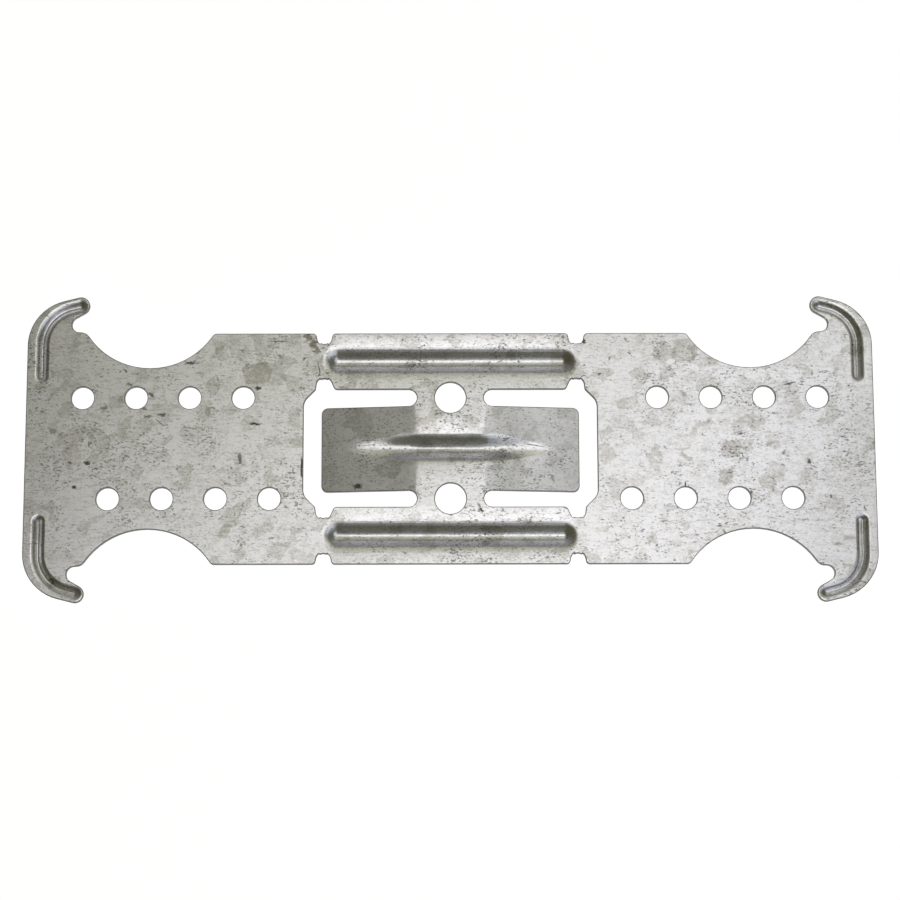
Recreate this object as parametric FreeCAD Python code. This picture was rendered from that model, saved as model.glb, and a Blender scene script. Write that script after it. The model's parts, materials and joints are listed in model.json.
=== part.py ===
import FreeCAD, Part
import os
from math import atan2, cos, degrees, radians, sin, sqrt, tan

# A cross connector for ceiling profiles, pressed from one piece of galvanised steel sheet.
# It lies face up and flat, as it is delivered, before its wings are folded down along the upper profile.
# X runs along its length, Y across it, and Z up. It rests on the tips of its two spring tongues at Z = 0.
# The sizes below are in millimetres, and angles are in degrees.
# Heights inside the functions are measured from the sheet's top face until the last step lifts the part.

# Sheet and overall outline
sheet_thickness = 1.0
overall_length = 158.5
hook_span = 57.8
plate_width = 43.7
blank_margin = 5.0

# Round cut-outs between the wings and the hooks
cut_out_radius = 14.0
cut_out_from_end = 23.05
cut_out_past_hooks = 0.35
wing_corner_radius = 1.0

# Hooks at the four corners. Their lips clear the lower profile's mouth, and their tips fit inside it.
hook_back_radius = 8.7
hook_back_slope = 14.0
hook_tip_radius = 1.65
hook_tip_inset = 9.85
throat_slope = 29.6
throat_radius = 1.45
lip_from_middle = 22.15
nose_radius = 2.0

# Notches in the plate's edges, at the ends of the fold lines
edge_notch_depth = 2.25
edge_notch_radius = 1.35
edge_notch_flare = 12.0
notch_corner_radius = 0.7

# Slots that free the tongues, with a notch at each fold line
slot_start_from_middle = 6.25
slot_width = 3.1
slot_corner_radius = 2.5
slot_notch_depth = 2.3
slot_notch_radius = 1.45
slot_notch_inner_flare = 24.0
slot_notch_outer_flare = 7.0
slot_notch_corner_radius = 0.8
slot_notch_outer_corner_radius = 0.4

# Spring tongues, bent down a little from the sheet. Their tips reach just past the fold lines.
tongue_width = 16.0
tongue_reach = 24.15
tongue_past_fold = 0.55
tongue_tip_gap = 3.25
tongue_corner_radius = 1.2
tongue_bend_radius = 10.0
tongue_angle = 8.2

# Screw holes in the wings, in two rows that are staggered, and two larger holes in the middle
screw_hole_diameter = 4.2
screw_hole_pitch = 10.0
screw_holes_in_row = 4
hole_row_spacing = 19.1
back_row_from_fold = 15.1
row_stagger = 5.0
centre_hole_diameter = 5.8

# Stiffening ribs pressed down into the sheet. The waist and tongue ribs are rounded: a radius at the
# bottom of the groove and one under each shoulder. The narrow hook ribs have a flat bottom and plain sides.
waist_rib_depth = 1.8
waist_rib_bottom_radius = 1.3
waist_rib_shoulder_radius = 1.2
waist_rib_side_slope = 45.0
waist_rib_end_gap = 2.6

tongue_rib_depth = 1.9
tongue_rib_bottom_radius = 1.3
tongue_rib_shoulder_radius = 1.2
tongue_rib_side_slope = 45.0
tongue_rib_end_gap = 3.85

hook_rib_depth = 0.75
hook_rib_bottom_width = 0.3
hook_rib_side_slope = 42.0
hook_rib_from_end = 2.8
hook_rib_from_back = 1.8
hook_rib_start = 13.7
hook_rib_bend_radius = 7.0
hook_rib_tip_gap = 0.72

# The ribs' shoulders start this far off the sheet's faces, so that each one meets its face at a clean line
shoulder_lift = 0.003

half_length = overall_length / 2
half_width = plate_width / 2
half_span = hook_span / 2
half_tongue = tongue_width / 2
slot_edge = half_tongue + slot_width
slot_end = tongue_reach + tongue_tip_gap
fold_line = tongue_reach - tongue_past_fold
up = FreeCAD.Vector(0, 0, 1)


def point(x, y, z=0.0):
    return FreeCAD.Vector(x, y, z)


def direction(angle):
    """A unit vector in the sheet's plane, at an angle from +X."""
    return point(cos(radians(angle)), sin(radians(angle)))


def crossing(start, heading, other_start, other_heading):
    """Where two lines in the sheet's plane cross, each given by a point and a heading."""
    along = direction(heading)
    other = direction(other_heading)
    gap = other_start - start
    reach = (gap.x * other.y - gap.y * other.x) / (along.x * other.y - along.y * other.x)
    return start + along * reach


def line(start, end):
    return Part.LineSegment(start, end).toShape()


def arc(start, middle, end):
    return Part.Arc(start, middle, end).toShape()


def rounded_corner(before, corner, after, radius):
    """The start, middle and end of the arc that rounds a corner."""
    back = (before - corner).normalize()
    ahead = (after - corner).normalize()
    half_angle = back.getAngle(ahead) / 2
    run = radius / tan(half_angle)
    inward = (back + ahead).normalize()
    middle = corner + inward * (radius / sin(half_angle) - radius)
    return corner + back * run, middle, corner + ahead * run


def rounded_path(corners):
    """Edges along a path of (point, radius) corners. The first and last points stay sharp."""
    edges = []
    reached = corners[0][0]
    for before, here, after in zip(corners, corners[1:], corners[2:]):
        start, middle, end = rounded_corner(before[0], here[0], after[0], here[1])
        if reached.distanceToPoint(start) > 1e-6:
            edges.append(line(reached, start))
        edges.append(arc(start, middle, end))
        reached = end
    edges.append(line(reached, corners[-1][0]))
    return edges


def mirrored(edges, normal):
    return [edge.mirror(point(0, 0), normal) for edge in edges]


def face_from(edges):
    """A flat face inside a closed loop of edges, which may come in any order."""
    return Part.Face(Part.Wire(Part.__sortEdges__(edges)))


def hook_tip_centre():
    return point(half_length - hook_tip_inset, half_span - hook_tip_radius)


def hook_corners():
    """The hook from the sheet's end edge to its lip, as sharp corners with their radii."""
    back_heading = 180 - hook_back_slope
    throat_heading = -throat_slope
    back_start = hook_tip_centre() + direction(back_heading - 90) * hook_tip_radius
    throat_start = hook_tip_centre() + direction(throat_heading - 90) * hook_tip_radius
    lip = point(0, lip_from_middle)
    end_edge = point(half_length, 0)
    return [
        (end_edge, 0),
        (crossing(end_edge, 90, back_start, back_heading), hook_back_radius),
        (crossing(back_start, back_heading, throat_start, throat_heading), hook_tip_radius),
        (crossing(throat_start, throat_heading, lip, 0), throat_radius),
    ]


def cut_out_edges():
    """The round cut-out, with the nose on its hook side and the corner on its wing side.

    Each rounding lies outside the cut-out's circle and under its own straight edge.
    """
    centre = point(half_length - cut_out_from_end, half_span + cut_out_past_hooks)
    ends = []
    for side, edge_height, radius in (
        (1, lip_from_middle, nose_radius),
        (-1, half_width, wing_corner_radius),
    ):
        height = edge_height - radius
        drop = centre.y - height
        reach = cut_out_radius + radius
        rounding = point(centre.x + side * sqrt(reach ** 2 - drop ** 2), height)
        on_edge = rounding + point(0, radius)
        on_circle = rounding + (centre - rounding).normalize() * radius
        between = ((on_edge - rounding) + (on_circle - rounding)).normalize()
        ends.append((on_edge, rounding + between * radius, on_circle))
    nose, wing = ends
    lowest = centre - point(0, cut_out_radius)
    edges = [arc(*nose), arc(nose[2], lowest, wing[2]), arc(*wing)]
    return nose[0], edges, wing[0]


def edge_notch_corners():
    """The notch in the plate's edge, as sharp corners with their radii."""
    centre = point(fold_line, half_width - edge_notch_depth + edge_notch_radius)
    edge = point(0, half_width)
    outer_heading = 90 - edge_notch_flare
    inner_heading = 90 + edge_notch_flare
    outer_side = centre + direction(-edge_notch_flare) * edge_notch_radius
    inner_side = centre + direction(180 + edge_notch_flare) * edge_notch_radius
    return [
        (crossing(outer_side, outer_heading, edge, 0), notch_corner_radius),
        (crossing(outer_side, outer_heading, inner_side, inner_heading), edge_notch_radius),
        (crossing(inner_side, inner_heading, edge, 0), notch_corner_radius),
    ]


def outline_face():
    """The plate's outline: one quarter, mirrored to the other three."""
    nose_start, cut_out, wing_start = cut_out_edges()
    quarter = rounded_path(hook_corners() + [(nose_start, 0)])
    quarter += cut_out
    quarter += rounded_path([(wing_start, 0)] + edge_notch_corners() + [(point(0, half_width), 0)])
    half = quarter + mirrored(quarter, point(1, 0))
    return face_from(half + mirrored(half, point(0, 1)))


def slot_face():
    """The C-shaped slot that frees the right tongue: its upper half, mirrored to the lower one."""
    slot_top = point(0, slot_edge)
    notch_centre = point(fold_line, slot_edge + slot_notch_depth - slot_notch_radius)
    outer_heading = 90 + slot_notch_outer_flare
    inner_heading = 90 - slot_notch_inner_flare
    outer_side = notch_centre + direction(outer_heading - 90) * slot_notch_radius
    inner_side = notch_centre + direction(inner_heading + 90) * slot_notch_radius
    outer_foot = crossing(outer_side, outer_heading, slot_top, 0)
    slot_far_side = point(slot_end, 0)
    corners = [
        (slot_far_side, 0),
        (crossing(slot_far_side, 90, outer_foot, 135), slot_corner_radius),
        (outer_foot, slot_notch_outer_corner_radius),
        (crossing(outer_side, outer_heading, inner_side, inner_heading), slot_notch_radius),
        (crossing(inner_side, inner_heading, slot_top, 0), slot_notch_corner_radius),
        (point(slot_start_from_middle, slot_edge), slot_width / 2),
        (point(slot_start_from_middle, half_tongue), slot_width / 2),
        (point(tongue_reach, half_tongue), tongue_corner_radius),
        (point(tongue_reach, 0), 0),
    ]
    half = rounded_path(corners)
    return face_from(half + mirrored(half, point(0, 1)))


def hole_places():
    """Centre and diameter of every round hole."""
    half_spacing = hole_row_spacing / 2
    places = [(0, side * half_spacing, centre_hole_diameter) for side in (1, -1)]
    for index in range(screw_holes_in_row):
        x = fold_line + back_row_from_fold + index * screw_hole_pitch
        for wing in (1, -1):
            places.append((wing * x, half_spacing, screw_hole_diameter))
            places.append((wing * (x - row_stagger), -half_spacing, screw_hole_diameter))
    return places


def upright(face, low, high):
    """A straight prism over a face of the sheet's plane, between two heights."""
    prism = face.extrude(up * (high - low))
    prism.translate(up * low)
    return prism


def tongue_drop(x):
    """How far the tongue's straight part lies under the sheet's top face at x."""
    bend_line = slot_start_from_middle + tongue_bend_radius * tan(radians(tongue_angle / 2))
    return (x - bend_line) * tan(radians(tongue_angle))


def tongue_strip(width):
    """The right tongue as a strip of sheet, rolled down at its root and straight to past its tip."""
    angle = radians(tongue_angle)
    centre = point(slot_start_from_middle, 0, -tongue_bend_radius)
    end_x = (tongue_reach + slot_end) / 2

    def at(radius, turned):
        return centre + point(sin(turned), 0, cos(turned)) * radius

    top = tongue_bend_radius
    under = tongue_bend_radius - sheet_thickness
    fall = point(cos(angle), 0, -sin(angle))
    run = (end_x - at(top, angle).x) / fall.x
    top_end = at(top, angle) + fall * run
    under_end = at(under, angle) + fall * run
    section = Part.Wire([
        arc(at(top, 0), at(top, angle / 2), at(top, angle)),
        line(at(top, angle), top_end),
        line(top_end, under_end),
        line(under_end, at(under, angle)),
        arc(at(under, angle), at(under, angle / 2), at(under, 0)),
        line(at(under, 0), at(top, 0)),
    ])
    section.translate(point(0, -width / 2))
    return Part.Face(section).extrude(point(0, width))


class PressedRib:
    """The cross-section of a pressed rib, in a plane of (across, height) around its centre line.

    Each kind of rib gives half_curve: one side's pieces, two points for a line and three for an arc,
    from the middle of the groove's bottom to the shoulder, on the sheet's top face or on its underside.
    """

    def section(self, under, both_sides=True):
        """A closed wire: the groove over the sheet, or the bulge under it."""
        pieces = [[p + up * shoulder_lift for p in piece] for piece in self.half_curve(under)]
        end = pieces[-1][-1]
        cap = end.z + (sheet_thickness / 2 if under else shoulder_lift)
        edges = [arc(*piece) if len(piece) == 3 else line(*piece) for piece in pieces]
        edges.append(line(end, point(end.x, 0, cap)))
        if both_sides:
            edges += mirrored(edges, point(1, 0))
            edges.append(line(point(-end.x, 0, cap), point(end.x, 0, cap)))
        else:
            edges.append(line(point(end.x, 0, cap), point(0, 0, cap)))
            edges.append(line(point(0, 0, cap), pieces[0][0]))
        return Part.Wire(Part.__sortEdges__(edges))


class RoundedRib(PressedRib):
    """A rib with a round bottom, straight sides and round shoulders."""

    def __init__(self, depth, bottom_radius, shoulder_radius, side_slope):
        self.depth = depth
        self.bottom = bottom_radius
        self.shoulder = shoulder_radius + sheet_thickness
        self.slope = radians(side_slope)
        rounded = (self.bottom + self.shoulder) * (1 - cos(self.slope))
        side = (depth - rounded) / sin(self.slope)
        self.half_width = (self.bottom + self.shoulder) * sin(self.slope) + side * cos(self.slope)

    def half_curve(self, under):
        offset = sheet_thickness if under else 0.0
        bottom = self.bottom + offset
        shoulder = self.shoulder - offset
        low = point(0, 0, self.bottom - self.depth)
        high = point(self.half_width, 0, -self.shoulder)

        def on_bottom(turned):
            return low + point(sin(turned), 0, -cos(turned)) * bottom

        def on_shoulder(turned):
            return high + point(-sin(turned), 0, cos(turned)) * shoulder

        half = self.slope / 2
        return [
            (on_bottom(0), on_bottom(half), on_bottom(self.slope)),
            (on_bottom(self.slope), on_shoulder(self.slope)),
            (on_shoulder(self.slope), on_shoulder(half), on_shoulder(0)),
        ]


class PlainRib(PressedRib):
    """A narrow rib with a flat bottom and straight sides."""

    def __init__(self, depth, bottom_width, side_slope):
        self.depth = depth
        self.half_bottom = bottom_width / 2
        self.slope = radians(side_slope)
        self.half_width = self.half_bottom + depth / tan(self.slope)

    def half_curve(self, under):
        fall = sheet_thickness if under else 0.0
        spread = fall * tan(self.slope / 2)
        foot = point(self.half_bottom + spread, 0, -self.depth - fall)
        shoulder = point(self.half_width + spread, 0, -fall)
        return [(point(0, 0, foot.z), foot), (foot, shoulder)]


def placed(shape, at, heading):
    """A section moved to a point of the rib's route, square to its heading."""
    moved = shape.copy()
    moved.rotate(point(0, 0), up, heading - 90)
    moved.translate(at)
    return moved


def end_cap(rib, under, at, heading):
    """The round end of a rib, past the last point of its route."""
    half = Part.Face(placed(rib.section(under, both_sides=False), at, heading))
    return half.revolve(at, up, 180)


def straight_run(rib, under, start, end):
    heading = degrees(atan2(end.y - start.y, end.x - start.x))
    return Part.Face(placed(rib.section(under), start, heading)).extrude(end - start)


def waist_rib_parts(rib, under):
    """The two long ribs along the waist, each in the middle of its bar."""
    half_run = fold_line - waist_rib_end_gap
    height = (half_width + slot_edge) / 2
    parts = []
    for side in (1, -1):
        left = point(-half_run, side * height)
        right = point(half_run, side * height)
        parts.append(straight_run(rib, under, left, right))
        parts.append(end_cap(rib, under, right, 0))
        parts.append(end_cap(rib, under, left, 180))
    return parts


def hook_rib_parts(rib, under):
    """The rib of the right back hook: straight beside the end edge, round the hook and into its tip."""
    x = half_length - hook_rib_from_end
    start = point(x, hook_rib_start)
    heading = 180 - hook_back_slope
    to_back = direction(heading - 90)
    on_line = hook_tip_centre() + to_back * (hook_tip_radius - hook_rib_from_back)
    corner = crossing(start, 90, on_line, heading)
    bend_start, _, bend_end = rounded_corner(start, corner, on_line, hook_rib_bend_radius)
    bend_centre = bend_start - point(hook_rib_bend_radius, 0)
    end_x = hook_tip_centre().x - hook_tip_radius + hook_rib_tip_gap + rib.half_width
    end = crossing(on_line, heading, point(end_x, 0), 90)
    section = Part.Face(placed(rib.section(under), bend_start, 90))
    return [
        end_cap(rib, under, start, 270),
        straight_run(rib, under, start, bend_start),
        section.revolve(bend_centre, up, heading - 90),
        straight_run(rib, under, bend_end, end),
        end_cap(rib, under, end, heading),
    ]


def tongue_rib_parts(rib, under):
    """The rib across the middle, which runs out as each tongue falls away to its depth."""
    bend_line = slot_start_from_middle + tongue_bend_radius * tan(radians(tongue_angle / 2))
    rib_reach = tongue_reach - tongue_rib_end_gap
    run_out = point(rib_reach, 0, -tongue_drop(rib_reach))
    if under:
        bend_line -= sheet_thickness * tan(radians(tongue_angle / 2))
        run_out += point(-sin(radians(tongue_angle)), 0, -cos(radians(tongue_angle))) * sheet_thickness
    run_out += up * shoulder_lift
    parts = [straight_run(rib, under, point(-bend_line, 0), point(bend_line, 0))]
    section = placed(rib.section(under), point(bend_line, 0), 0)
    taper = Part.makeLoft([section, Part.Vertex(run_out)], True, True)
    parts += [taper, taper.mirror(point(0, 0), point(1, 0))]
    return parts


def formed_sheet():
    """A blank larger than the plate, with its tongues bent and its ribs pressed."""
    length = overall_length + 2 * blank_margin
    width = hook_span + 2 * blank_margin
    blank = Part.makeBox(length, width, sheet_thickness,
                         point(-length / 2, -width / 2, -sheet_thickness))
    strip_width = tongue_width + slot_width
    strip = tongue_strip(strip_width)
    strip_length = (tongue_reach + slot_end) / 2 - slot_start_from_middle
    opening = Part.makeBox(strip_length, strip_width, 3 * sheet_thickness,
                           point(slot_start_from_middle, -strip_width / 2, -2 * sheet_thickness))
    across = point(1, 0)
    blank = blank.cut([opening, opening.mirror(point(0, 0), across)])
    sheet = blank.fuse([strip, strip.mirror(point(0, 0), across)])

    waist_rib = RoundedRib(waist_rib_depth, waist_rib_bottom_radius,
                           waist_rib_shoulder_radius, waist_rib_side_slope)
    tongue_rib = RoundedRib(tongue_rib_depth, tongue_rib_bottom_radius,
                            tongue_rib_shoulder_radius, tongue_rib_side_slope)
    hook_rib = PlainRib(hook_rib_depth, hook_rib_bottom_width, hook_rib_side_slope)

    def tools(under):
        parts = waist_rib_parts(waist_rib, under) + tongue_rib_parts(tongue_rib, under)
        hook = hook_rib_parts(hook_rib, under)
        hook += [part.mirror(point(0, 0), point(1, 0)) for part in hook]
        hook += [part.mirror(point(0, 0), point(0, 1)) for part in hook]
        return parts + hook

    return sheet.fuse(tools(under=True)).cut(tools(under=False))


def connector_plate():
    """The whole part: the formed sheet, punched to its outline, slots and holes."""
    reach = 5 * sheet_thickness
    outline = upright(outline_face(), -reach, reach)
    slot = upright(slot_face(), -reach, reach)
    punches = [slot, slot.mirror(point(0, 0), point(1, 0))]
    for x, y, diameter in hole_places():
        punches.append(Part.makeCylinder(diameter / 2, 2 * reach, point(x, y, -reach)))
    plate = formed_sheet().common(outline).cut(punches).removeSplitter()
    plate.translate(point(0, 0, -plate.BoundBox.ZMin))
    return plate


def main():
    os.makedirs("parts", exist_ok=True)
    plate = connector_plate()
    print("valid", plate.isValid(), "solids", len(plate.Solids), "faces", len(plate.Faces))
    print("box", plate.BoundBox, "volume", round(plate.Volume, 1))
    plate.exportStep("parts/connector_plate.step")


main()
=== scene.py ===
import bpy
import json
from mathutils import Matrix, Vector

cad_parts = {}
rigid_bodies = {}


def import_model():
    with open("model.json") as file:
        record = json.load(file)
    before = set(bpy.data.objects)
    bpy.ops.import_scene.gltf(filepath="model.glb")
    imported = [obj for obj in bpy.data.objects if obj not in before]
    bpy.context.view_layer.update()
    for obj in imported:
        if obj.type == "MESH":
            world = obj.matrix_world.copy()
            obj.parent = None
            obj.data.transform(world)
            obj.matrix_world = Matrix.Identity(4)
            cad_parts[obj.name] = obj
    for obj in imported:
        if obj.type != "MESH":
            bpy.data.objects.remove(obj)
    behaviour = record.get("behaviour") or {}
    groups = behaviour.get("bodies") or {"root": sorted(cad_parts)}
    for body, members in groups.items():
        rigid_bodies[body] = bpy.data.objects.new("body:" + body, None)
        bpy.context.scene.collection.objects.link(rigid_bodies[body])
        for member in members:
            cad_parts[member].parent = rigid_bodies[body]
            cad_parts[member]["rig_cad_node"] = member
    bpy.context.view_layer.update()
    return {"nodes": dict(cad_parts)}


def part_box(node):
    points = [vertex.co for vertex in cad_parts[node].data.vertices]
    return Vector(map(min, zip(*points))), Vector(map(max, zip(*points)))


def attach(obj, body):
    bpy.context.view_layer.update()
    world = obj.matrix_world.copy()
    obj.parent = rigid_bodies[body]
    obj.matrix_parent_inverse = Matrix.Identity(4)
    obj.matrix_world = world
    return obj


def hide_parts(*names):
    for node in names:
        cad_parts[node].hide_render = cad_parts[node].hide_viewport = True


bl_info = {
    "name": "Ceiling profile cross connector",
    "version": (1, 0, 0),
    "blender": (4, 5, 0),
    "location": "3D View > Sidebar > Connector",
    "description": "Finishes a pressed cross connector in galvanised steel, on a studio floor",
    "category": "Object",
}

import json
import math

import bmesh
import bpy
from bpy.props import FloatProperty, FloatVectorProperty, PointerProperty

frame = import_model()

MM = 0.001
X_AXIS = (1, 0, 0)
Y_AXIS = (0, 1, 0)

# Sizes and places of the solid, in millimetres
SHEET = 1.0
HOOK_RIB_DEPTH = 0.75
HOOKS_FROM_X = 58.0
WAIST_RIB_DEPTH = 1.8
WAIST_RIB_Y = 16.475
TONGUE_BEND = 6.967

# Half lengths and half widths of areas on the plate, in millimetres
TONGUES = (24.6, 8.4)
BENDS = (9.0, 7.2)
MIDDLE_RIB = (21.0, 3.3)
WAIST_RIB = (25.2, 3.3)
LONG_SLIVERS = (22.0, 3.4)

# Where the mesh is cut before it is bent and rounded, in millimetres
GRID_X = [-70 + 9.8 * i for i in range(15)]
GRID_Y = [-24.6 + 8.2 * i for i in range(7)]
RIB_SIDE_CUTS = (0.9, 1.3, 1.7, 2.1, 2.5)
RIB_LENGTH_CUTS = [9.5 + 1.5 * i for i in range(7)]
BEND_CUTS = (5.3, 5.65, 6.0, 6.4)
HOOK_CUTS_X = (69.6, 71.5, 73.5, 75.2)
HOOK_CUTS_Y = (21.5, 23.0)
HOOK_CUTS_X_FROM_Y = 23.5
HOOK_CUTS_Y_FROM_Y = 19.0

# How walls and creases are told: a normal's z, square millimetres, millimetres, degrees
UPRIGHT = 0.05
SLIVER_AREA = 0.02
CREASE_BAND = 0.06
CREASE_TURN = (34.0, 47.0)
SMOOTH_UNDER = 34.0

CUT_EDGE_SLOT = 1


def colour(label, text, value):
    return FloatVectorProperty(name=label, description=text, subtype="COLOR", size=3,
                               min=0.0, max=1.0, default=value)


def length(label, text, millimetres):
    return FloatProperty(name=label, description=text, unit="LENGTH", precision=5, min=0.0,
                         default=millimetres * MM)


def share(label, text, value):
    return FloatProperty(name=label, description=text, subtype="FACTOR", min=0.0, max=1.0,
                         default=value)


class ConnectorShape(bpy.types.PropertyGroup):
    """Roundings, ribs and bends that punch and press leave on the plate."""
    rim: length("Punched rim", "Rounding along the upper rims, where the punch went in", 0.16)
    burr: length("Burr", "Narrow chamfer along the lower rims, where the punch came out", 0.05)
    hook_shoulder: length("Hook rib shoulder", "Rounding where a hook rib leaves the upper face", 0.40)
    hook_bottom: length("Hook rib bottom", "Rounding in the bottom of a hook rib", 0.14)
    hook_ridge: length("Hook rib ridge", "Rounding of a hook rib's ridge on the lower face", 0.45)
    hook_foot: length("Hook rib foot", "Rounding at the foot of that ridge", 0.10)
    rib_spread: FloatProperty(name="Rib spread", description="How much the large ribs are widened",
                              min=1.0, max=1.3, default=1.08)
    waist_rib_depth: share("Waist rib depth", "Depth of the waist ribs, as a share of the solid's", 0.67)
    waist_rib_fade: share("Waist rib fade", "How much softer their shallow parts run out", 0.25)
    middle_rib_depth: length("Middle rib depth", "Depth of the middle rib over the web", 1.25)
    middle_rib_half: length("Middle rib half width", "Half the width of the middle rib", 2.9)
    middle_rib_fade: length("Middle rib fade", "How softly it runs out on the tongues", 0.1)
    left_dive: share("Left dive", "How steeply its bottom falls towards the left tongue", 0.02)
    right_dive: share("Right dive", "How steeply its bottom falls towards the right tongue", 0.03)
    bend_start: length("Bend start", "Distance from the middle to each tongue's bend", 6.0)
    bend_softness: length("Bend softness", "Half the length over which a tongue bends", 0.7)
    bend_angle: FloatProperty(name="Bend angle", description="How far each tongue bends down",
                              subtype="ANGLE", min=0.0, max=0.5, default=math.radians(7.8))


class ConnectorFinish(bpy.types.PropertyGroup):
    """Colours and sizes of the zinc coat and its wear."""
    zinc: colour("Zinc", "The brightest of the coat", (0.92, 0.915, 0.985))
    dull_zinc: colour("Dull zinc", "The dull flakes of the coat", (0.50, 0.49, 0.47))
    worn_zinc: colour("Worn zinc", "Dashes worn into the coat", (0.24, 0.23, 0.20))
    brown: colour("Brown", "Old stains in the coat", (0.17, 0.14, 0.09))
    dirt: colour("Dirt", "Specks, scratches and handling marks", (0.075, 0.07, 0.06))
    cut_steel: colour("Cut steel", "The punched walls and rims", (0.30, 0.295, 0.28))
    tone: share("Tone", "Where the coat lies between dull and bright, before it is varied", 0.90)
    roughness: share("Roughness", "Roughness of the clean coat", 0.30)
    soiled_roughness: share("Soiled roughness", "Roughness of the dirt", 0.60)
    edge_roughness: share("Edge roughness", "Roughness of the punched walls and rims", 0.45)
    flake: length("Flake", "Mean width of a zinc flake", 2.8)
    dull_share: share("Dull share", "Share of the flakes that are dull", 0.17)
    dashes: share("Dashes", "How strongly the dashes show", 0.55)
    specks: share("Specks", "How strongly the specks show", 0.65)
    marks: FloatProperty(name="Marks", description="How strongly dark spots and scratches show",
                         min=0.0, max=2.0, default=1.25)
    speck_amount: share("Speck amount", "How much of the coat the specks take up", 0.19)
    most_soil: share("Most soil", "How much of the coat the darkest dirt hides", 0.92)
    lean: share("Lean", "Slope of the sheet close beside the large ribs", 0.07)
    bump: length("Bump", "Height of the grain in the coat", 0.010)


class ConnectorStage(bpy.types.PropertyGroup):
    """The studio round the part."""
    floor: colour("Floor", "The plain floor", (0.93, 0.93, 0.93))
    floor_shade: colour("Floor shade", "How the floor takes light and shadow", (0.35, 0.35, 0.35))
    floor_glow: share("Floor glow", "How bright the floor looks by itself", 0.96)
    room: colour("Room", "The dim room round the stage", (0.067, 0.065, 0.033))
    wall: colour("Wall", "The paler wall behind the part", (0.287, 0.284, 0.290))
    side: colour("Side", "The side of the room on the right", (0.09, 0.09, 0.065))
    level: FloatProperty(name="Lamp level", description="Brightness of all the lamps together",
                         min=0.0, default=1.0)


def select_only(piece):
    bpy.ops.object.select_all(action="DESELECT")
    piece.select_set(True)
    bpy.context.view_layer.objects.active = piece


def select_parts(piece, kind, wanted):
    """Selects the points, edges or faces that wanted() picks, in edit mode."""
    bpy.ops.mesh.select_mode(type=kind)
    bpy.ops.mesh.select_all(action="DESELECT")
    mesh = bmesh.from_edit_mesh(piece.data)
    parts = {"VERT": mesh.verts, "EDGE": mesh.edges, "FACE": mesh.faces}[kind]
    found = [part for part in parts if wanted(part)]
    if not found:
        raise RuntimeError("nothing on " + piece.name + " fits " + wanted.__name__)
    for part in found:
        part.select_set(True)
    bmesh.update_edit_mesh(piece.data)


def within(place, area, middle_y=0.0):
    """True for a place in an area of that half length and half width, with its middle at x = 0."""
    return abs(place.x) < area[0] * MM and abs(place.y - middle_y * MM) < area[1] * MM


def on_hooks(place, from_y):
    """True for a place on a hook, at least that far to the side of the plate's middle line."""
    return abs(place.x) > HOOKS_FROM_X * MM and abs(place.y) > from_y * MM


def is_wall(face):
    """Punched walls stand upright. Slivers do too, and those by the middle rib can be long."""
    small = face.calc_area() < SLIVER_AREA * MM * MM
    sliver = small or within(face.calc_center_median(), LONG_SLIVERS)
    return abs(face.normal.z) < UPRIGHT and not sliver


def rim_beside(edge, side):
    """True for an edge between a punched wall and the upper (side 1) or lower (side -1) face."""
    walls = [is_wall(face) for face in edge.link_faces]
    return sum(walls) == 1 and edge.link_faces[walls.index(False)].normal.z * side > UPRIGHT


def hook_crease(edge, height, convex):
    """True for one of a hook rib's sharp lines, at a height in metres."""
    if any(is_wall(face) for face in edge.link_faces) or edge.is_convex != convex:
        return False
    least, most = CREASE_TURN
    turn = math.degrees(edge.calc_face_angle(0.0))
    return least < turn < most and all(
        on_hooks(v.co, 0.0) and abs(v.co.z - height) < CREASE_BAND * MM for v in edge.verts)


def round_over(piece, wanted, width, segments, slot=-1):
    """Bevels the wanted edges. The new faces take the material of their neighbours, or of a slot."""
    select_parts(piece, "EDGE", wanted)
    bpy.ops.mesh.bevel(offset=width, segments=segments, affect="EDGES", clamp_overlap=False,
                       loop_slide=False, material=slot)


def merged_copy(node, name):
    """A copy of a CAD node with its triangles joined, and its flat faces made whole again."""
    select_only(node)
    bpy.ops.object.duplicate()
    piece = bpy.context.object
    piece.name = piece.data.name = name
    del piece["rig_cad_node"]
    bpy.ops.object.parent_clear(type="CLEAR")
    piece.data.materials.clear()
    bpy.ops.object.mode_set(mode="EDIT")
    bpy.ops.mesh.select_all(action="SELECT")
    bpy.ops.mesh.remove_doubles(threshold=0.001 * MM)
    bpy.ops.mesh.customdata_custom_splitnormals_clear()
    bpy.ops.mesh.dissolve_limited(angle_limit=math.radians(0.5))
    return piece


def mirrored(places):
    """The same distances on both sides of zero."""
    return [side * place for side in (-1, 1) for place in places]


def cut(piece, axis, places, wanted=lambda middle: True):
    """Cuts the faces whose middles are wanted, along planes square to an axis."""
    for place in places:
        select_parts(piece, "FACE", lambda face: wanted(face.calc_center_median()))
        bpy.ops.mesh.bisect(plane_co=[place * MM * a for a in axis], plane_no=axis,
                            threshold=0.0001 * MM)


def cut_flats(piece):
    """Cuts the flat faces, so that none stays large and none reaches round a hook rib."""
    cut(piece, X_AXIS, GRID_X)
    cut(piece, Y_AXIS, GRID_Y)
    cut(piece, X_AXIS, (-TONGUE_BEND, TONGUE_BEND))
    cut(piece, X_AXIS, mirrored(HOOK_CUTS_X), lambda middle: on_hooks(middle, HOOK_CUTS_X_FROM_Y))
    cut(piece, Y_AXIS, mirrored(HOOK_CUTS_Y), lambda middle: on_hooks(middle, HOOK_CUTS_Y_FROM_Y))


def spread_rib(piece, area, middle_y, spread):
    """Widens a large rib about its middle line."""
    select_parts(piece, "VERT", lambda v: within(v.co, area, middle_y))
    bpy.ops.transform.resize(value=(1.0, spread, 1.0), center_override=(0.0, middle_y * MM, 0.0))


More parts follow.
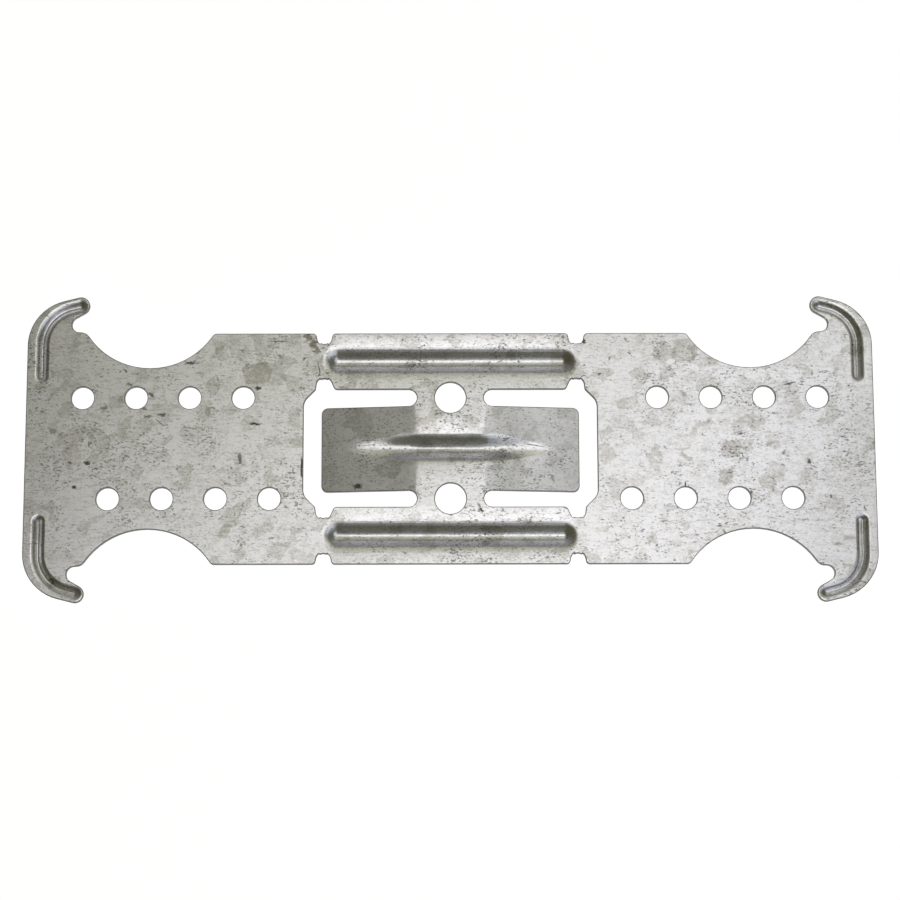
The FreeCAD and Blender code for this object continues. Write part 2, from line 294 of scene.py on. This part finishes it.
def set_heights(piece, top, height):
    """Puts each selected point at height(place, level), with the level of its side of the sheet."""
    mesh = bmesh.from_edit_mesh(piece.data)
    for point in [v for v in mesh.verts if v.select]:
        under = sum(face.normal.z * face.calc_area() for face in point.link_faces) < 0
        level = top - (SHEET * MM if under else 0.0)
        point.co.z = height(point.co, level)
    bmesh.update_edit_mesh(piece.data)


def ease_waist_rib(piece, top, middle_y, shape):
    """Widens a waist rib and draws it up, with softer shoulders and ends."""
    cut(piece, Y_AXIS, [middle_y + off for off in mirrored(RIB_SIDE_CUTS)],
        lambda middle: within(middle, WAIST_RIB, middle_y))
    spread_rib(piece, WAIST_RIB, middle_y, shape.rib_spread)

    def drawn_up(place, level):
        depth = max(0.0, level - place.z)
        fade = (depth / (WAIST_RIB_DEPTH * MM)) ** shape.waist_rib_fade
        return level - shape.waist_rib_depth * depth * fade

    set_heights(piece, top, drawn_up)


def tongue_drop(x, shape):
    """How far a tongue lies under the level sheet at x. Its bend is spread over a short length."""
    past = abs(x) - shape.bend_start
    if abs(past) < shape.bend_softness:
        past = (past + shape.bend_softness) ** 2 / (4 * shape.bend_softness)
    return max(0.0, past) * math.tan(shape.bend_angle)


def ease_middle(piece, top, shape):
    """Bends the tongues softly, and gives the middle rib a round section that fades out on them."""
    cut(piece, Y_AXIS, mirrored(RIB_SIDE_CUTS), lambda middle: within(middle, MIDDLE_RIB))
    cut(piece, X_AXIS, mirrored(RIB_LENGTH_CUTS), lambda middle: within(middle, MIDDLE_RIB))
    cut(piece, X_AXIS, mirrored(BEND_CUTS), lambda middle: within(middle, BENDS))
    spread_rib(piece, MIDDLE_RIB, 0.0, shape.rib_spread)
    select_parts(piece, "VERT", lambda v: within(v.co, TONGUES))

    def pressed(place, level):
        drop = tongue_drop(place.x, shape)
        dive = shape.right_dive if place.x > 0 else shape.left_dive
        below = shape.middle_rib_depth + dive * abs(place.x) - drop
        depth = (below + math.hypot(below, shape.middle_rib_fade)) / 2
        off = min(1.0, abs(place.y) / shape.middle_rib_half) if within(place, MIDDLE_RIB) else 1.0
        return level - drop - depth * (1 + math.cos(math.pi * off)) / 2

    set_heights(piece, top, pressed)


def round_hook_ribs(piece, top, shape):
    """Rounds the hook ribs' shoulders and bottoms, then their ridges and feet on the lower face."""
    bottom = top - HOOK_RIB_DEPTH * MM
    round_over(piece, lambda e: hook_crease(e, top, True), shape.hook_shoulder, segments=6)
    round_over(piece, lambda e: hook_crease(e, bottom, False), shape.hook_bottom, segments=3)
    round_over(piece, lambda e: hook_crease(e, bottom - SHEET * MM, True), shape.hook_ridge, segments=4)
    round_over(piece, lambda e: hook_crease(e, top - SHEET * MM, False), shape.hook_foot, segments=2)


class CONNECTOR_OT_plate(bpy.types.Operator):
    """Eases the plate's ribs and bends, rounds its rims, and gives it its zinc coat"""
    bl_idname = "connector.plate"
    bl_label = "Pressed plate"

    def execute(self, context):
        shape = context.scene.connector_shape
        finish = context.scene.connector_finish
        piece = merged_copy(frame["nodes"]["connector_plate"], "pressed_plate")
        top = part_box("connector_plate")[1].z
        cut_flats(piece)
        ease_waist_rib(piece, top, WAIST_RIB_Y, shape)
        ease_middle(piece, top, shape)
        ease_waist_rib(piece, top, -WAIST_RIB_Y, shape)
        round_hook_ribs(piece, top, shape)
        bpy.ops.object.mode_set(mode="OBJECT")
        piece.data.materials.append(galvanised_face(finish))
        piece.data.materials.append(cut_edge(finish))
        bpy.ops.object.mode_set(mode="EDIT")
        select_parts(piece, "FACE", is_wall)
        piece.active_material_index = CUT_EDGE_SLOT
        bpy.ops.object.material_slot_assign()
        round_over(piece, lambda e: rim_beside(e, 1), shape.rim, segments=3, slot=CUT_EDGE_SLOT)
        round_over(piece, lambda e: rim_beside(e, -1), shape.burr, segments=1)
        bpy.ops.object.mode_set(mode="OBJECT")
        bpy.ops.object.shade_smooth_by_angle(angle=math.radians(SMOOTH_UNDER))
        even = piece.modifiers.new("even_faces", "WEIGHTED_NORMAL")
        even.keep_sharp = True
        bpy.ops.object.modifier_apply(modifier=even.name)
        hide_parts("connector_plate")
        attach(piece, "root")
        return {"FINISHED"}


def add_node(tree, kind, sockets=None, **settings):
    """A node with its settings, and its sockets linked or set by name or number."""
    made = tree.nodes.new(kind)
    for name, value in settings.items():
        setattr(made, name, value)
    for name, value in (sockets or {}).items():
        if isinstance(value, bpy.types.NodeSocket):
            tree.links.new(value, made.inputs[name])
        else:
            made.inputs[name].default_value = value
    return made


def new_material(name):
    """A new material, its node tree and its output node."""
    made = bpy.data.materials.new(name)
    made.use_nodes = True
    tree = made.node_tree
    tree.nodes.clear()
    return made, tree, add_node(tree, "ShaderNodeOutputMaterial")


def new_group(name, inputs, outputs):
    """A node group's tree with named sockets, what comes into it, and what it puts out."""
    tree = bpy.data.node_groups.new(name, "ShaderNodeTree")
    for label, kind in inputs:
        tree.interface.new_socket(name=label, in_out="INPUT", socket_type="NodeSocket" + kind)
    for label, kind in outputs:
        tree.interface.new_socket(name=label, in_out="OUTPUT", socket_type="NodeSocket" + kind)
    return tree, tree.nodes.new("NodeGroupInput").outputs, tree.nodes.new("NodeGroupOutput").inputs


def place_group(tree, group, sockets):
    return add_node(tree, "ShaderNodeGroup", sockets, node_tree=group).outputs


def math_node(tree, operation, *values):
    made = add_node(tree, "ShaderNodeMath", dict(enumerate(values)), operation=operation)
    return made.outputs[0]


def vector_node(tree, operation, *values):
    made = add_node(tree, "ShaderNodeVectorMath", dict(enumerate(values)), operation=operation)
    return made.outputs["Vector"]


def remapped(tree, value, low, high, to_low=0.0, to_high=1.0, kind="LINEAR"):
    made = add_node(tree, "ShaderNodeMapRange", {
        "Value": value, "From Min": low, "From Max": high, "To Min": to_low, "To Max": to_high},
        interpolation_type=kind)
    return made.outputs["Result"]


def noise(tree, vector, scale=1.0, detail=3.0, roughness=0.6, output="Fac"):
    made = add_node(tree, "ShaderNodeTexNoise", {
        "Vector": vector, "Scale": scale, "Detail": detail, "Roughness": roughness})
    return made.outputs[output]


def blended(tree, factor, low, high):
    """One colour laid over another, by a factor that is held between 0 and 1."""
    both = [c if isinstance(c, bpy.types.NodeSocket) else (*c, 1.0) for c in (low, high)]
    return add_node(tree, "ShaderNodeMix", {"Factor": factor, "A": both[0], "B": both[1]},
                    data_type="RGBA").outputs["Result"]


def varied(tree, tone, pattern, amount):
    """A tone raised and lowered about its middle by a pattern that runs from 0 to 1."""
    lowered = math_node(tree, "SUBTRACT", tone, amount / 2)
    return math_node(tree, "MULTIPLY_ADD", pattern, amount, lowered)


def millimetres(tree):
    """The piece's own coordinates, in millimetres."""
    place = add_node(tree, "ShaderNodeTexCoord").outputs["Object"]
    return vector_node(tree, "MULTIPLY", place, (1 / MM, 1 / MM, 1 / MM))


def stretched(tree, vector, along, across):
    return vector_node(tree, "MULTIPLY", vector, (1 / along, 1 / across, 1 / across))


def shaken(tree, vector, size, reach, detail=3.0, roughness=0.6):
    """The coordinates pushed about by noise, so that what is placed with them gets a ragged edge."""
    cloud = noise(tree, stretched(tree, vector, *size), 1.0, detail, roughness, "Color")
    push = vector_node(tree, "SUBTRACT", cloud, (0.5, 0.5, 0.5))
    return vector_node(tree, "MULTIPLY_ADD", push, reach, vector)


def grain_group():
    """Fine grain, mottling and thin dashes from rolling and handling, all along X."""
    tree, given, result = new_group("zinc_grain", [("Vector", "Vector")], [
        ("Grain", "Float"), ("Mottling", "Float"), ("Dashes", "Float")])
    place = given["Vector"]
    grain = noise(tree, stretched(tree, place, along=0.45, across=0.42), detail=2.0)
    mottling = noise(tree, stretched(tree, place, along=1.5, across=0.9), roughness=0.55)
    swayed = shaken(tree, place, size=(1.6, 1.6), reach=(0.0, 1.3, 0.0))
    lines = noise(tree, stretched(tree, swayed, along=1.8, across=0.2), detail=2.0)
    tree.links.new(grain, result["Grain"])
    tree.links.new(mottling, result["Mottling"])
    tree.links.new(remapped(tree, lines, low=0.555, high=0.74), result["Dashes"])
    return tree


def flake_group():
    """Zinc flakes: a random shade for each one, and a mask of the dull ones."""
    tree, given, result = new_group("zinc_flakes", [
        ("Vector", "Vector"), ("Size", "Float"), ("Dull Share", "Float")],
        [("Shade", "Float"), ("Dull", "Float")])
    ragged = shaken(tree, given["Vector"], size=(2.0, 2.0), reach=(2.6, 2.6, 0.0), detail=2.0,
                    roughness=0.45)
    flat = vector_node(tree, "MULTIPLY", ragged, (1.0, 1.25, 0.25))
    per_size = math_node(tree, "DIVIDE", 1.0, given["Size"])
    cells = add_node(tree, "ShaderNodeTexVoronoi", {"Vector": flat, "Scale": per_size})
    random = add_node(tree, "ShaderNodeSeparateColor", {"Color": cells.outputs["Color"]}).outputs
    tree.links.new(random[0], result["Shade"])
    tree.links.new(math_node(tree, "LESS_THAN", random[1], given["Dull Share"]), result["Dull"])
    return tree


def speck_group():
    """Small dark specks, drawn out along X and gathered in clusters."""
    tree, given, result = new_group("handling_specks", [("Vector", "Vector"), ("Amount", "Float")],
                                    [("Mask", "Float")])
    clusters = noise(tree, given["Vector"], scale=0.16)
    specks = noise(tree, stretched(tree, given["Vector"], along=0.55, across=0.30))
    gathered = math_node(tree, "MULTIPLY_ADD", clusters, 0.42, specks)
    limit = math_node(tree, "SUBTRACT", 1.0, given["Amount"])
    over = math_node(tree, "SUBTRACT", gathered, limit)
    tree.links.new(remapped(tree, over, low=0.0, high=0.07), result["Mask"])
    return tree


# Each large rib's y, and the stretch of x in which the sheet beside it levels out, in millimetres
LEANS = ((WAIST_RIB_Y, 20.0, 24.0), (0.0, 5.0, 8.0), (-WAIST_RIB_Y, 20.0, 24.0))

# How far from a rib's middle line the sheet still leans, full and then not at all, in millimetres
LEAN_WIDTH = (3.2, 6.0)


def lean_group():
    """How far the sheet beside its ribs leans down towards them, as a vector to add to its normal."""
    tree, given, result = new_group("sheet_lean", [("Vector", "Vector"), ("Slope", "Float")],
                                    [("Lean", "Vector")])
    parts = add_node(tree, "ShaderNodeSeparateXYZ", {0: given["Vector"]}).outputs
    along = math_node(tree, "ABSOLUTE", parts["X"])
    total = 0.0
    for rib_y, start, end in LEANS:
        off = math_node(tree, "SUBTRACT", rib_y, parts["Y"])
        near = remapped(tree, math_node(tree, "ABSOLUTE", off), *LEAN_WIDTH, 1.0, 0.0)
        beside = math_node(tree, "MULTIPLY", near, remapped(tree, along, start, end, 1.0, 0.0))
        way = math_node(tree, "SUBTRACT", math_node(tree, "SIGN", off), 0.5)
        total = math_node(tree, "MULTIPLY_ADD", way, beside, total)
    lean = add_node(tree, "ShaderNodeCombineXYZ", {
        "Y": math_node(tree, "MULTIPLY", total, given["Slope"])}).outputs["Vector"]
    turned = add_node(tree, "ShaderNodeVectorTransform", {"Vector": lean}, vector_type="VECTOR",
                      convert_from="OBJECT", convert_to="WORLD").outputs["Vector"]
    tree.links.new(turned, result["Lean"])
    return tree


def stain_group():
    """One squarish spot, from its middle, half sizes and turn."""
    tree, given, result = new_group("stain", [
        ("Vector", "Vector"), ("Middle", "Vector"), ("Half Size", "Vector"), ("Turn", "Float"),
        ("Soft", "Float")], [("Mask", "Float")])
    moved = vector_node(tree, "SUBTRACT", given["Vector"], given["Middle"])
    back = math_node(tree, "MULTIPLY", given["Turn"], -1.0)
    turned = add_node(tree, "ShaderNodeVectorRotate", {"Vector": moved, "Angle": back},
                      rotation_type="Z_AXIS").outputs["Vector"]
    scaled = vector_node(tree, "DIVIDE", turned, given["Half Size"])
    squared = vector_node(tree, "MULTIPLY", scaled, scaled)
    both = add_node(tree, "ShaderNodeVectorMath", {0: squared}, operation="LENGTH").outputs["Value"]
    far = math_node(tree, "SQRT", both)
    start = math_node(tree, "SUBTRACT", 1.0, given["Soft"])
    mask = remapped(tree, far, start, 1.05, to_low=1.0, to_high=0.0, kind="SMOOTHSTEP")
    tree.links.new(mask, result["Mask"])
    return tree


# Half the depth of a spot, which goes right through the sheet, in millimetres
STAIN_DEPTH = 1000.0


def stain_masks(tree, group, vector, spots, soft):
    """The masks of several spots, added up."""
    total = 0.0
    for x, y, long, wide, turn, strength in spots:
        mask = place_group(tree, group, {
            "Vector": vector, "Middle": (x, y, 0.0), "Half Size": (long, wide, STAIN_DEPTH),
            "Turn": math.radians(turn), "Soft": soft})["Mask"]
        total = math_node(tree, "MULTIPLY_ADD", mask, strength, total)
    return total


# Spots listed one by one: x, y, half length and half width in millimetres, turn in degrees, strength
DULL_FLAKES = [
    (-36.2, 14.2, 2.6, 2.0, 0, 0.8), (-32.5, 13.8, 1.8, 2.0, 0, 0.4), (-43.0, 18.6, 1.2, 2.0, 30, 0.5),
    (-62.3, 8.7, 1.4, 1.3, 0, 0.55), (-45.2, 7.2, 0.7, 0.9, 0, 0.7), (-44.2, 1.0, 0.5, 1.2, 0, 0.4),
    (-29.0, 6.0, 1.3, 2.0, 0, 0.45), (-29.0, 1.0, 2.0, 1.2, 0, 0.4), (-41.8, -15.6, 0.9, 1.6, -20, 0.7),
    (-30.5, -16.5, 2.0, 2.0, 0, 0.35), (52.3, -0.3, 1.9, 1.6, 0, 0.8), (51.4, -5.5, 1.3, 1.6, 0, 0.7),
    (44.0, 18.5, 2.3, 2.4, 0, 0.6), (48.7, 16.3, 1.4, 0.9, 0, 0.5), (47.0, -3.6, 1.2, 1.1, 0, 0.4),
    (43.7, -1.8, 1.4, 0.5, -30, 0.9), (60.9, -5.5, 1.0, 1.0, 0, 0.4), (66.0, -5.5, 0.8, 1.4, 0, 0.4),
    (37.6, -16.6, 0.6, 0.9, 0, 0.6), (73.0, 16.0, 1.5, 1.5, 0, 0.3), (33.0, 8.5, 2.2, 1.1, 20, 0.35),
    (-58.0, 14.0, 1.6, 1.2, -30, 0.4), (-70.5, -1.5, 1.6, 2.4, 10, 0.35),
    (60.0, 1.5, 1.5, 1.0, 10, 0.3),
]

BROWN_MARKS = [
    (-26.7, 21.2, 0.7, 0.9, 30, 0.75), (-25.7, 19.9, 0.8, 1.1, -20, 0.8),
    (-25.0, 18.6, 0.5, 0.8, 0, 0.7), (-31.7, 17.4, 0.6, 0.5, 0, 0.45), (-33.3, 14.9, 0.4, 0.3, 0, 0.4),
    (-31.7, 16.0, 0.3, 0.3, 0, 0.4), (6.5, -18.0, 1.0, 0.6, 0, 0.4), (14.5, -13.8, 1.0, 0.5, 0, 0.4),
    (12.5, -2.0, 0.8, 0.6, 0, 0.35), (73.8, -17.0, 1.3, 0.6, 0, 0.4), (71.8, -18.2, 0.8, 0.3, 0, 0.5),
    (33.0, 20.6, 0.8, 0.25, -60, 0.8), (44.9, 8.2, 0.8, 0.2, 0, 0.5),
]

SCRATCHES = [
    (-32.2, 20.3, 2.3, 0.13, 0, 0.6), (-54.2, 4.8, 1.1, 0.15, -45, 0.6),
    (-48.5, 3.8, 1.5, 0.13, -10, 0.5), (-24.6, 15.2, 0.13, 1.6, 10, 0.6),
    (-25.2, 14.2, 0.7, 0.13, 30, 0.5), (-27.7, -3.6, 0.22, 2.4, 0, 0.85),
    (63.5, 12.1, 1.5, 0.2, 14, 0.55), (43.6, -6.9, 0.16, 0.7, 0, 0.8),
    (76.9, -11.5, 0.12, 0.7, 10, 0.5), (5.5, -11.3, 0.25, 1.3, 28, 0.4),
    (19.1, -5.6, 0.3, 0.9, 25, 0.4), (-39.2, -2.0, 0.45, 1.2, 10, 0.5),
]

DARK_SPOTS = [
    (-48.8, 16.2, 1.3, 0.30, 4, 0.7), (-60.8, 14.7, 0.55, 0.25, -35, 0.7),
    (-60.0, 12.2, 0.7, 0.35, -20, 0.5), (-56.0, 10.2, 0.8, 0.35, -30, 0.6),
    (-36.0, 11.3, 0.5, 0.4, 30, 0.9), (-54.0, 6.3, 1.1, 0.35, 0, 0.6), (-56.5, 6.0, 0.9, 0.3, 0, 0.55),
    (-57.2, 7.4, 0.6, 0.3, 0, 0.5), (-36.4, 4.6, 1.3, 0.28, -8, 0.8), (-64.6, 7.6, 0.9, 0.6, 30, 0.45),
    (-74.1, 3.2, 0.8, 0.7, 20, 0.4), (-66.3, 3.2, 0.3, 0.4, 0, 0.45), (-67.3, 0.8, 0.25, 0.6, -15, 0.5),
    (-67.6, -2.8, 0.8, 0.4, -15, 0.75), (-66.0, -3.8, 0.7, 0.18, -30, 0.6),
    (-70.8, -2.7, 0.35, 0.25, -20, 0.8), (-69.9, -7.3, 0.5, 0.35, 10, 0.9),
    (-71.4, 1.1, 0.4, 0.12, -20, 0.7), (-57.0, 0.9, 0.3, 0.2, -30, 0.6),
    (-73.0, 19.4, 0.4, 0.15, -20, 0.7), (-27.4, 17.0, 0.35, 0.25, 0, 0.7),
    (-27.3, 15.0, 0.2, 0.35, 0, 0.6), (-38.9, 18.5, 0.25, 0.35, 20, 0.6),
    (-38.5, -14.8, 0.7, 0.2, 0, 0.5), (-33.2, -17.0, 0.7, 0.25, 0, 0.4),
    (-72.6, -18.8, 0.5, 0.1, 0, 0.8), (-49.2, -10.1, 0.3, 0.15, -20, 0.6),
    (-29.5, 10.9, 0.45, 0.2, 30, 0.5), (-73.6, -24.8, 0.8, 0.3, -50, 0.8),
    (79.0, -3.0, 0.15, 0.6, 0, 0.6), (25.1, 20.3, 0.4, 0.45, 0, 0.9), (28.0, 13.9, 0.35, 0.28, 0, 0.85),
    (33.6, 18.0, 0.3, 0.3, 0, 0.5), (29.9, 16.9, 0.45, 0.25, 30, 0.45),
    (43.6, 10.3, 0.9, 0.5, -40, 0.3), (71.3, 9.7, 0.3, 0.25, 0, 0.6), (74.6, 11.8, 0.35, 0.22, 0, 0.8),
    (55.5, 8.6, 0.5, 0.18, 0, 0.55), (56.9, 8.3, 0.3, 0.45, 30, 0.6), (66.7, -2.6, 0.3, 0.75, 12, 0.75),
    (67.9, -3.7, 0.6, 0.18, -35, 0.55), (62.0, -1.2, 0.45, 0.3, -20, 0.4),
    (62.0, -3.4, 0.35, 0.25, 0, 0.4), (54.4, -1.4, 0.2, 0.55, 15, 0.6),
    (55.0, -0.6, 0.15, 0.5, -15, 0.5), (70.8, -9.3, 0.35, 0.3, 0, 0.7),
    (37.9, -13.0, 0.22, 0.2, 0, 0.6), (70.0, -3.2, 0.2, 0.15, 0, 0.5),
    (45.3, -15.7, 0.12, 0.5, 25, 0.55), (48.3, 5.0, 0.45, 0.12, 0, 0.5),
    (50.5, 5.0, 0.45, 0.12, -25, 0.5), (56.3, 4.0, 0.15, 0.25, 0, 0.5), (57.7, 3.2, 0.25, 0.2, 0, 0.4),
    (72.2, -2.4, 0.2, 0.15, 0, 0.5), (70.4, 3.0, 0.22, 0.2, 0, 0.6), (73.3, 2.0, 0.22, 0.2, 0, 0.5),
    (74.0, 3.4, 0.2, 0.2, 0, 0.5), (47.1, 2.5, 0.22, 0.2, 0, 0.6), (-15.0, 16.2, 0.2, 0.2, 0, 0.5),
    (-11.0, 16.0, 0.2, 0.2, 0, 0.5), (-17.4, -7.1, 1.1, 0.55, 10, 0.85), (18.7, 5.8, 0.3, 0.3, 0, 0.6),
    (-7.2, 0.6, 0.35, 0.3, 0, 0.5), (-8.7, -19.7, 0.45, 0.2, -35, 0.6),
    (18.7, -3.0, 0.22, 0.22, 0, 0.6), (-16.5, -1.3, 0.3, 0.25, -30, 0.5),
]


def coat_tone(tree, finish, place, upper, grain, stain):
    """Where each spot of the coat lies between dull and bright: grain, mottling, clouds and flakes."""
    flakes = place_group(tree, flake_group(), {
        "Vector": place, "Size": finish.flake / MM, "Dull Share": finish.dull_share})
    clouds = noise(tree, place, scale=0.07, roughness=0.55)
    tone = finish.tone
    for pattern, amount in ((grain["Grain"], 1.4), (grain["Mottling"], 0.8), (clouds, 0.4),
                            (flakes["Shade"], 0.25)):
        tone = varied(tree, tone, pattern, amount)
    edged = shaken(tree, place, size=(1.9, 1.9), reach=(2.0, 2.0, 0.0))
    placed = math_node(tree, "MULTIPLY", upper, stain_masks(tree, stain, edged, DULL_FLAKES, soft=0.15))
    for dull, loss in ((flakes["Dull"], 0.36), (placed, 0.8)):
        tone = math_node(tree, "MULTIPLY_ADD", dull, -loss, tone)
    return tone


def soil_mask(tree, finish, place, ragged, upper, stain):
    """How much dirt hides the coat: placed spots and scratches, and scattered specks."""
    frayed = shaken(tree, place, size=(0.8, 0.5), reach=(0.6, 0.5, 0.0))
    spots = stain_masks(tree, stain, ragged, DARK_SPOTS, soft=0.6)
    scratches = stain_masks(tree, stain, frayed, SCRATCHES, soft=0.6)
    marks = math_node(tree, "MULTIPLY", math_node(tree, "ADD", spots, scratches), finish.marks)
    dark = math_node(tree, "MULTIPLY", upper, marks)
    specks = place_group(tree, speck_group(), {"Vector": place, "Amount": finish.speck_amount})["Mask"]
    soil = math_node(tree, "MULTIPLY_ADD", specks, finish.specks, dark)
    return math_node(tree, "MINIMUM", soil, finish.most_soil)


def galvanised_face(finish):
    """Hot-dipped zinc: flakes, grain, rolling dashes, specks and handling marks."""
    made, tree, output = new_material("galvanised_face")
    place = millimetres(tree)
    facing = add_node(tree, "ShaderNodeTexCoord").outputs["Normal"]
    up = add_node(tree, "ShaderNodeSeparateXYZ", {0: facing}).outputs["Z"]
    upper = math_node(tree, "GREATER_THAN", up, 0.0)
    grain = place_group(tree, grain_group(), {"Vector": place})
    stain = stain_group()
    ragged = shaken(tree, place, size=(0.8, 0.5), reach=(2.0, 1.2, 0.0))

    tone = coat_tone(tree, finish, place, upper, grain, stain)
    coat = blended(tree, tone, finish.dull_zinc, finish.zinc)
    brown = math_node(tree, "MULTIPLY", upper, stain_masks(tree, stain, ragged, BROWN_MARKS, soft=0.5))
    coat = blended(tree, brown, coat, finish.brown)
    dashes = math_node(tree, "MULTIPLY", grain["Dashes"], finish.dashes)
    coat = blended(tree, dashes, coat, finish.worn_zinc)
    soil = soil_mask(tree, finish, place, ragged, upper, stain)
    soiled = blended(tree, soil, coat, finish.dirt)

    texture = math_node(tree, "MULTIPLY_ADD", grain["Dashes"], -0.15, grain["Grain"])
    bump = add_node(tree, "ShaderNodeBump", {
        "Height": texture, "Strength": 1.0, "Distance": finish.bump}).outputs["Normal"]
    lean = place_group(tree, lean_group(), {"Vector": place, "Slope": finish.lean})["Lean"]
    normal = vector_node(tree, "NORMALIZE", vector_node(tree, "ADD", bump, lean))
    rough = remapped(tree, soil, 0.0, 1.0, finish.roughness, finish.soiled_roughness)
    shader = add_node(tree, "ShaderNodeBsdfPrincipled", {
        "Base Color": soiled, "Metallic": 1.0, "Roughness": rough, "Normal": normal})
    tree.links.new(shader.outputs[0], output.inputs["Surface"])
    return made


def cut_edge(finish):
    """Sheared steel with its zinc dragged over: darker, with fine scoring."""
    made, tree, output = new_material("cut_edge")
    scoring = noise(tree, stretched(tree, millimetres(tree), along=0.12, across=0.12))
    darker = [c * 0.6 for c in finish.cut_steel]
    tone = blended(tree, remapped(tree, scoring, low=0.3, high=0.7), darker, finish.cut_steel)
    shader = add_node(tree, "ShaderNodeBsdfPrincipled", {
        "Base Color": tone, "Metallic": 1.0, "Roughness": finish.edge_roughness})
    tree.links.new(shader.outputs[0], output.inputs["Surface"])
    return made


def floor_finish(stage):
    """A plain floor. To the camera, and in metal, it looks pale and keeps a soft shadow."""
    made, tree, output = new_material("studio_floor")
    path = add_node(tree, "ShaderNodeLightPath").outputs
    plain = add_node(tree, "ShaderNodeBsdfDiffuse", {"Color": (*stage.floor, 1.0)})
    shaded = add_node(tree, "ShaderNodeBsdfDiffuse", {"Color": (*stage.floor_shade, 1.0)})
    glow = add_node(tree, "ShaderNodeEmission", {
        "Color": (*stage.floor, 1.0), "Strength": stage.floor_glow})
    seen = add_node(tree, "ShaderNodeAddShader", {0: shaded.outputs[0], 1: glow.outputs[0]})
    seen_by_metal = math_node(tree, "MAXIMUM", path["Is Glossy Ray"], path["Is Transmission Ray"])
    looked_at = math_node(tree, "MAXIMUM", path["Is Camera Ray"], seen_by_metal)
    mixed = add_node(tree, "ShaderNodeMixShader", {
        0: looked_at, 1: plain.outputs[0], 2: seen.outputs[0]})
    tree.links.new(mixed.outputs[0], output.inputs["Surface"])
    return made


def softbox(name, centre, size, brightness, tint):
    """A level panel over the floor, in millimetres, as bright as a card of that brightness."""
    bpy.ops.object.light_add(type="AREA", location=[c * MM for c in centre])
    lamp = bpy.context.object
    lamp.name = name
    lamp.data.shape = "RECTANGLE"
    lamp.data.size = size[0] * MM
    lamp.data.size_y = size[1] * MM
    lamp.data.energy = brightness * math.pi * lamp.data.size * lamp.data.size_y
    lamp.data.color = tint


def room(stage):
    """A dim room, paler behind the part, on its +Y side, and a little paler on its +X side."""
    world = bpy.data.worlds.new("studio_room")
    world.use_nodes = True
    tree = world.node_tree
    place = add_node(tree, "ShaderNodeTexCoord").outputs["Generated"]
    towards = add_node(tree, "ShaderNodeSeparateXYZ", {0: place}).outputs
    paint = stage.room
    for axis, shade in (("Y", stage.wall), ("X", stage.side)):
        near = math_node(tree, "POWER", remapped(tree, towards[axis], -1.0, 1.0), 5.0)
        paint = blended(tree, near, paint, shade)
    tree.links.new(paint, tree.nodes["Background"].inputs["Color"])
    return world


# Lamps that hang level over the floor: name, middle and size in millimetres, brightness, tint
LAMPS = [
    ("overhead_strip", (3, -125, 800), (346, 517), 1.37, (1.0, 0.99, 0.94)),
    ("front_right_panel", (573, -636, 800), (955, 1189), 0.65, (0.88, 0.93, 1.0)),
    ("back_panel", (343, 553, 800), (1081, 722), 0.36, (0.975, 1.0, 0.69)),
    ("small_window", (171, 248, 800), (68, 266), 3.03, (0.91, 0.903, 1.0)),
]

# Length of the floor's edges, and its height, in millimetres
FLOOR_SIZE = 6000.0
FLOOR_Z = -0.01

# The camera of the photograph: place in millimetres, turn in degrees, lens in millimetres
CAMERA_PLACE = (-2.479, -80.857, 459.571)
CAMERA_TURN = (10.0007, -0.2739, -0.1477)
CAMERA_LENS = 99.44


class CONNECTOR_OT_stage(bpy.types.Operator):
    """Adds the floor, the lights and the camera"""
    bl_idname = "connector.stage"
    bl_label = "Studio"

    def execute(self, context):
        scene = context.scene
        stage = scene.connector_stage
        bpy.ops.mesh.primitive_plane_add(size=FLOOR_SIZE * MM, location=(0, 0, FLOOR_Z * MM))
        floor = context.object
        floor.name = "studio_floor"
        floor.data.materials.append(floor_finish(stage))
        bpy.ops.object.transform_apply(location=True, rotation=True, scale=True)
        for name, centre, size, brightness, tint in LAMPS:
            softbox(name, centre, size, brightness * stage.level, tint)
        scene.world = room(stage)
        bpy.ops.object.camera_add(location=[c * MM for c in CAMERA_PLACE],
                                  rotation=[math.radians(a) for a in CAMERA_TURN])
        camera = context.object
        camera.data.lens = CAMERA_LENS
        camera.data.clip_start = 10 * MM
        scene.camera = camera
        scene.view_settings.view_transform = "Standard"
        return {"FINISHED"}


class CONNECTOR_PT_panel(bpy.types.Panel):
    """Lists the connector's settings and steps"""
    bl_idname = "CONNECTOR_PT_panel"
    bl_label = "Cross connector"
    bl_space_type = "VIEW_3D"
    bl_region_type = "UI"
    bl_category = "Connector"

    def draw(self, context):
        scene = context.scene
        for settings in (scene.connector_shape, scene.connector_finish, scene.connector_stage):
            box = self.layout.box()
            for name in settings.__annotations__:
                box.prop(settings, name)
        self.layout.operator("connector.plate")
        self.layout.operator("connector.stage")


classes = (ConnectorShape, ConnectorFinish, ConnectorStage, CONNECTOR_OT_plate,
           CONNECTOR_OT_stage, CONNECTOR_PT_panel)


def register():
    for cls in classes:
        bpy.utils.register_class(cls)
    bpy.types.Scene.connector_shape = PointerProperty(type=ConnectorShape)
    bpy.types.Scene.connector_finish = PointerProperty(type=ConnectorFinish)
    bpy.types.Scene.connector_stage = PointerProperty(type=ConnectorStage)


def unregister():
    del bpy.types.Scene.connector_stage
    del bpy.types.Scene.connector_finish
    del bpy.types.Scene.connector_shape
    for cls in reversed(classes):
        bpy.utils.unregister_class(cls)


def main():
    register()
    bpy.ops.connector.plate()
    bpy.ops.connector.stage()


if __name__ == "__main__":
    main()
